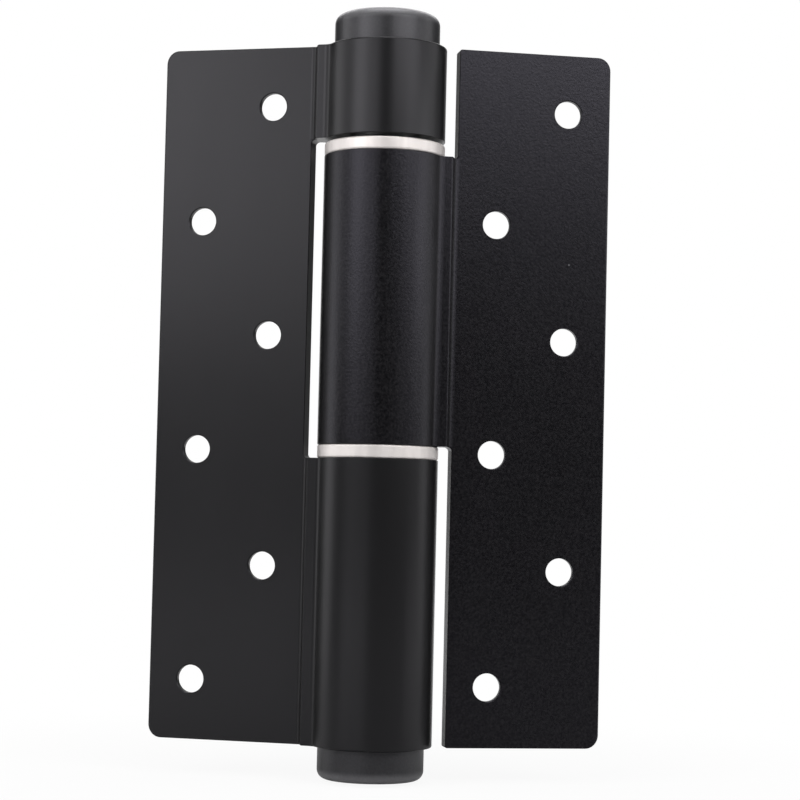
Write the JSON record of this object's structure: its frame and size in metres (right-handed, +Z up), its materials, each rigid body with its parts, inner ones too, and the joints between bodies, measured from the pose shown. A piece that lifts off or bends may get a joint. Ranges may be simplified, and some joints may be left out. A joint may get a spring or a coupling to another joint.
{
  "type": "self-closing barrel hinge",
  "caption": "Black three-knuckle door hinge whose barrel holds a closing spring and an oil damper, with polished thrust rings, domed end caps and zigzag screw holes.",
  "frame": {"origin": "centre of the frame leaf's screw pattern, on its mounting face", "axes": "-Y out of the frame leaf's mounting face, +Z up along the barrel, +X from the frame leaf towards the barrel; the door leaf is drawn swung back from flat"},
  "size_m": [0.1139, 0.0401, 0.198],
  "materials": {
    "leaf_black": "black satin coat",
    "leaf_grain": "black powder coat",
    "ring_polished": "polished",
    "cap_black": "black, half gloss",
    "bearing_bronze": "turned",
    "steel_bright": "turned",
    "steel_dark": "blackened",
    "spring_steel": "oiled",
    "seal_rubber": "matte"
  },
  "bodies": {
    "frame": {"frame_leaf": "leaf_black", "top_cap": "cap_black", "bottom_cap": "cap_black", "lower_ring": "ring_polished", "lower_bearing": "bearing_bronze", "tension_collar": "steel_bright", "damper_cylinder": "steel_bright", "gland": "bearing_bronze", "gland_seal": "seal_rubber", "shaft_seal": "seal_rubber", "bottom_plug": "steel_bright", "plug_seal": "seal_rubber", "plug_clip": "steel_dark"},
    "door": {"door_leaf": "leaf_grain", "upper_ring": "ring_polished", "upper_bearing": "bearing_bronze", "drive_hub": "steel_dark", "hub_clip": "steel_dark", "cam_shaft": "steel_dark", "torsion_spring": "spring_steel"},
    "piston": {"piston": "steel_bright", "piston_seal": "seal_rubber", "cross_pin": "steel_bright", "check_ball": "steel_bright", "ball_retainer": "bearing_bronze"},
    "spindle": {"tension_spindle": "steel_bright", "lock_washer": "steel_bright", "lock_nut": "steel_dark"},
    "valve": {"speed_valve": "steel_bright", "valve_seal": "seal_rubber"}
  },
  "joints": [
    {"name": "leaf_swing", "type": "hinge", "parent": "frame", "child": "door", "pos_m": [0.0382, 0.0054, 0], "axis": [0, 0, 1], "range_deg": [-25.7, 154.3], "stiffness_Nm_per_rad": 0.35, "deforming": ["torsion_spring"]},
    {"name": "piston_slide", "type": "slide", "parent": "frame", "child": "piston", "axis": [0, 0, 1], "range_m": [-0.0103, 0.00172]},
    {"name": "tension_set", "type": "hinge", "parent": "frame", "child": "spindle", "pos_m": [0.0382, 0.0054, 0], "axis": [0, 0, 1], "range_deg": [0, 270], "deforming": ["torsion_spring"]},
    {"name": "speed_set", "type": "hinge", "parent": "frame", "child": "valve", "pos_m": [0.0382, 0.0054, 0], "axis": [0, 0, 1], "range_deg": [-180, 180]}
  ],
  "couplings": [
    {"joint": "piston_slide", "follows": "leaf_swing", "m_per_rad": -0.0038197}
  ]
}
